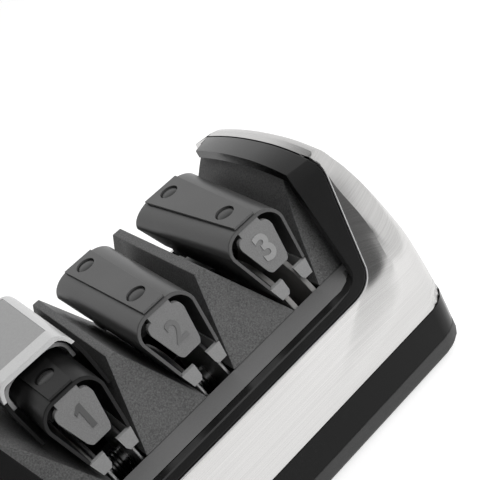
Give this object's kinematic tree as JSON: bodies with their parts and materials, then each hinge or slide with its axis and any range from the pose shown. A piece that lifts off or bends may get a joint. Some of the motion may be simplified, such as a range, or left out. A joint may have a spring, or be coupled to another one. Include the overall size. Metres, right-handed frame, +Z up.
{
  "type": "electric knife sharpener",
  "caption": "Electric knife sharpener: brushed steel skirt, black bezel, wedge guides beside sprung saddles over abrasive discs, lift-off cover, motor below.",
  "frame": {"origin": "on the table, under the middle of the body's width and depth", "axes": "+X to the user's right along the row of stages, +Y away from the user, +Z up"},
  "size_m": [0.235, 0.15, 0.1217],
  "materials": {
    "steel_skirt": "brushed along its length",
    "black_bezel": "satin",
    "grey_deck": "smooth",
    "grey_textured": "fine texture",
    "black_band": "glossy",
    "black_tray": "matt",
    "grey_saddle": "satin",
    "pale_plate": "fine texture",
    "silver_cover": "satin",
    "plain_steel": "turned",
    "strop_face": "fine abrasive",
    "copper_wire": "enamelled winding",
    "lamination": "stacked plates",
    "rubber": "matt",
    "bronze_bush": "sintered"
  },
  "bodies": {
    "body": {"base_tray": "black_tray", "lower_band": "black_band", "foot_front_left": "rubber", "foot_front_right": "rubber", "foot_rear_left": "rubber", "foot_rear_right": "rubber", "metal_skirt": "steel_skirt", "bezel": "black_bezel", "deck_plate": "grey_deck", "wedge_block_left": "grey_textured", "wedge_block_1_2": "grey_textured", "wedge_block_2_3": "grey_textured", "wedge_block_right": "grey_textured", "saddle_1": "grey_saddle", "saddle_2": "grey_saddle", "saddle_3": "grey_saddle", "clamp_strip_1": "grey_saddle", "clamp_strip_2": "grey_saddle", "clamp_strip_3": "grey_saddle", "stage_frame_1": "pale_plate", "stage_frame_2": "pale_plate", "stage_frame_3": "pale_plate", "blade_rail_1_left": "pale_plate", "blade_rail_1_right": "pale_plate", "blade_rail_2_left": "pale_plate", "blade_rail_2_right": "pale_plate", "blade_rail_3_left": "pale_plate", "blade_rail_3_right": "pale_plate", "switch_rim": "black_bezel", "cord_inlet": "rubber", "motor_stator": "lamination", "motor_coil": "copper_wire", "motor_bracket_left": "plain_steel", "motor_bracket_right": "plain_steel", "motor_bush_left": "bronze_bush", "motor_bush_right": "bronze_bush", "bearing_pillar_left": "grey_deck", "bearing_pillar_right": "grey_deck", "dresser_pin": "plain_steel"},
    "drive": {"drive_shaft": "plain_steel", "disc_hub_1": "plain_steel", "disc_hub_2": "plain_steel", "disc_hub_3": "plain_steel", "disc_spring_1": "plain_steel", "disc_spring_2": "plain_steel", "disc_spring_3": "plain_steel", "motor_rotor": "lamination", "cooling_fan": "grey_deck"},
    "disc_1_left": {"diamond_disc_1_left": "plain_steel"},
    "disc_1_right": {"diamond_disc_1_right": "plain_steel"},
    "disc_2_left": {"diamond_disc_2_left": "plain_steel"},
    "disc_2_right": {"diamond_disc_2_right": "plain_steel"},
    "disc_3_left": {"strop_disc_3_left": "strop_face"},
    "disc_3_right": {"strop_disc_3_right": "strop_face"},
    "cover": {"stage_cover": "silver_cover", "cover_liner": "silver_cover"},
    "rocker": {"switch_rocker": "black_band"},
    "dresser": {"dresser_lever": "grey_deck"},
    "door": {"clean_out_door": "black_tray"}
  },
  "joints": [
    {"name": "drive_spin", "type": "hinge", "parent": "body", "child": "drive", "pos_m": [0, -0.009, 0.0515], "axis": [1, 0, 0], "continuous": true},
    {"name": "disc_1_left_slide", "type": "slide", "parent": "drive", "child": "disc_1_left", "axis": [1, 0, 0], "range_m": [0, 0.0015], "stiffness_N_per_m": 600, "springref_m": -0.002},
    {"name": "disc_1_right_slide", "type": "slide", "parent": "drive", "child": "disc_1_right", "axis": [-1, 0, 0], "range_m": [0, 0.0015], "stiffness_N_per_m": 600, "springref_m": -0.002},
    {"name": "disc_2_left_slide", "type": "slide", "parent": "drive", "child": "disc_2_left", "axis": [1, 0, 0], "range_m": [0, 0.0015], "stiffness_N_per_m": 600, "springref_m": -0.002},
    {"name": "disc_2_right_slide", "type": "slide", "parent": "drive", "child": "disc_2_right", "axis": [-1, 0, 0], "range_m": [0, 0.0015], "stiffness_N_per_m": 600, "springref_m": -0.002},
    {"name": "disc_3_left_slide", "type": "slide", "parent": "drive", "child": "disc_3_left", "axis": [1, 0, 0], "range_m": [0, 0.0015], "stiffness_N_per_m": 600, "springref_m": -0.002},
    {"name": "disc_3_right_slide", "type": "slide", "parent": "drive", "child": "disc_3_right", "axis": [-1, 0, 0], "range_m": [0, 0.0015], "stiffness_N_per_m": 600, "springref_m": -0.002},
    {"name": "switch_rock", "type": "hinge", "parent": "body", "child": "rocker", "pos_m": [-0.078, -0.0695, 0.02345], "axis": [1, 0, 0], "range_deg": [0, 8]},
    {"name": "cover_lift", "type": "slide", "parent": "body", "child": "cover", "axis": [0, 0, 1], "range_m": [0, 0.06]},
    {"name": "dresser_swing", "type": "hinge", "parent": "body", "child": "dresser", "pos_m": [0.059, 0.046, 0.061], "axis": [0, 0, 1], "range_deg": [-8, 8]},
    {"name": "door_swing", "type": "hinge", "parent": "body", "child": "door", "pos_m": [0.033, 0.0156, 0.002], "axis": [1, 0, 0], "range_deg": [0, 80]}
  ]
}
